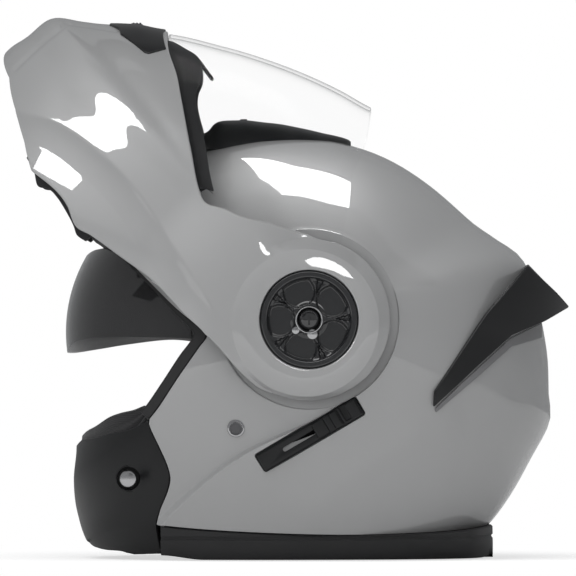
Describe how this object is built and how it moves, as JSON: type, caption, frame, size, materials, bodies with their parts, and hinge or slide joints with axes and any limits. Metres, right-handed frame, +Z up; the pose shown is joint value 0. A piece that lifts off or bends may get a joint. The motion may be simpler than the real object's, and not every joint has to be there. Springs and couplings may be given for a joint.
{
  "type": "modular motorcycle helmet",
  "caption": "Flip-up helmet with its chin bar raised, clear outer visor, drop-down smoke sun visor, vents, latches, lining and chin strap.",
  "frame": {"origin": "on the ground under the middle of the raised helmet's box", "axes": "+Z up, the face opening looks along -X, +Y is the wearer's right"},
  "size_m": [0.3384, 0.253, 0.323],
  "materials": {
    "grey_paint": "gloss mid grey paint on a moulded shell",
    "black_plastic": "satin black moulded plastic",
    "grey_plastic": "satin grey plastic",
    "foam": "fine beaded black impact foam",
    "cloth": "black brushed lining cloth",
    "webbing": "black woven webbing",
    "seal_rubber": "matte black rubber",
    "steel": "turned and polished",
    "dark_steel": "blackened, polished dome",
    "smoke_visor": "dark smoke tint, clear gloss",
    "clear_visor": "clear, gloss hard coat",
    "red_plastic": "satin red"
  },
  "bodies": {
    "shell": {"outer_shell": "grey_paint", "eps_liner": "foam", "crown_pad": "cloth", "cheek_pad_left": "cloth", "cheek_pad_right": "cloth", "neck_roll": "cloth", "face_trim": "seal_rubber", "base_trim": "seal_rubber", "chin_base": "black_plastic", "chin_base_lining": "cloth", "latch_strikers": "steel", "strap_rivets": "steel", "rear_spoiler": "black_plastic", "exhaust_strip": "grey_plastic", "top_vent_base": "black_plastic", "sun_visor_pins": "black_plastic", "slider_plate": "black_plastic", "pivot_plate_left": "black_plastic", "pivot_plate_right": "black_plastic", "pivot_screws": "dark_steel", "chin_strap_left": "webbing", "chin_strap_right": "webbing", "buckle_body": "black_plastic"},
    "chin_bar_group": {"chin_bar": "grey_paint", "chin_bar_liner": "foam", "chin_vent_cover": "black_plastic", "eyeport_gasket": "seal_rubber", "breath_deflector": "black_plastic", "chin_curtain": "cloth", "latch_pins": "steel", "side_cap_left": "black_plastic", "side_cap_right": "black_plastic"},
    "clear_visor_body": {"clear_visor": "clear_visor"},
    "release_button_body": {"release_button": "black_plastic"},
    "latch_hook_left_body": {"latch_hook_left": "steel"},
    "latch_hook_right_body": {"latch_hook_right": "steel"},
    "chin_vent_slider_body": {"chin_vent_slider": "black_plastic"},
    "sun_visor_body": {"sun_visor": "smoke_visor"},
    "slider_knob_body": {"slider_knob": "black_plastic"},
    "top_vent_slider_body": {"top_vent_slider": "black_plastic"},
    "buckle_lever_body": {"buckle_lever": "red_plastic"}
  },
  "joints": [
    {"name": "chin_bar_hinge", "type": "hinge", "parent": "shell", "child": "chin_bar_group", "pos_m": [0.013, 0, 0.1428], "axis": [0, -1, 0], "range_deg": [0, 70]},
    {"name": "clear_visor_hinge", "type": "hinge", "parent": "chin_bar_group", "child": "clear_visor_body", "pos_m": [0.013, 0, 0.1428], "axis": [0, 1, 0], "range_deg": [0, 40]},
    {"name": "sun_visor_hinge", "type": "hinge", "parent": "shell", "child": "sun_visor_body", "pos_m": [-0.0422, 0, 0.135], "axis": [0, 1, 0], "range_deg": [0, 42]},
    {"name": "slider_knob_slide", "type": "slide", "parent": "shell", "child": "slider_knob_body", "axis": [-0.8616, 0, -0.5075], "range_m": [0, 0.02]},
    {"name": "release_button_slide", "type": "slide", "parent": "chin_bar_group", "child": "release_button_body", "axis": [0.5906, 0, -0.807], "range_m": [0, 0.003], "stiffness_N_per_m": 600, "springref_m": -0.002},
    {"name": "latch_hook_left_hinge", "type": "hinge", "parent": "chin_bar_group", "child": "latch_hook_left_body", "pos_m": [-0.10949, 0, 0.22613], "axis": [0, 1, 0], "range_deg": [0, 5.05]},
    {"name": "latch_hook_right_hinge", "type": "hinge", "parent": "chin_bar_group", "child": "latch_hook_right_body", "pos_m": [-0.10949, 0, 0.22613], "axis": [0, 1, 0], "range_deg": [0, 5.05]},
    {"name": "top_vent_slide", "type": "slide", "parent": "shell", "child": "top_vent_slider_body", "axis": [-1, 0, 0], "range_m": [0, 0.006]},
    {"name": "chin_vent_slide", "type": "slide", "parent": "chin_bar_group", "child": "chin_vent_slider_body", "axis": [0, 1, 0], "range_m": [-0.005, 0.005]},
    {"name": "buckle_lever_hinge", "type": "hinge", "parent": "shell", "child": "buckle_lever_body", "pos_m": [-0.0302, 0.003, 0.0186], "axis": [1, 0, 0], "range_deg": [0, 55], "stiffness_Nm_per_rad": 0.02, "springref_deg": -11.46}
  ],
  "couplings": [
    {"joint": "slider_knob_slide", "follows": "sun_visor_hinge", "m_per_rad": 0.02728},
    {"joint": "latch_hook_left_hinge", "follows": "release_button_slide", "rad_per_m": 29.08},
    {"joint": "latch_hook_right_hinge", "follows": "release_button_slide", "rad_per_m": 29.08}
  ]
}
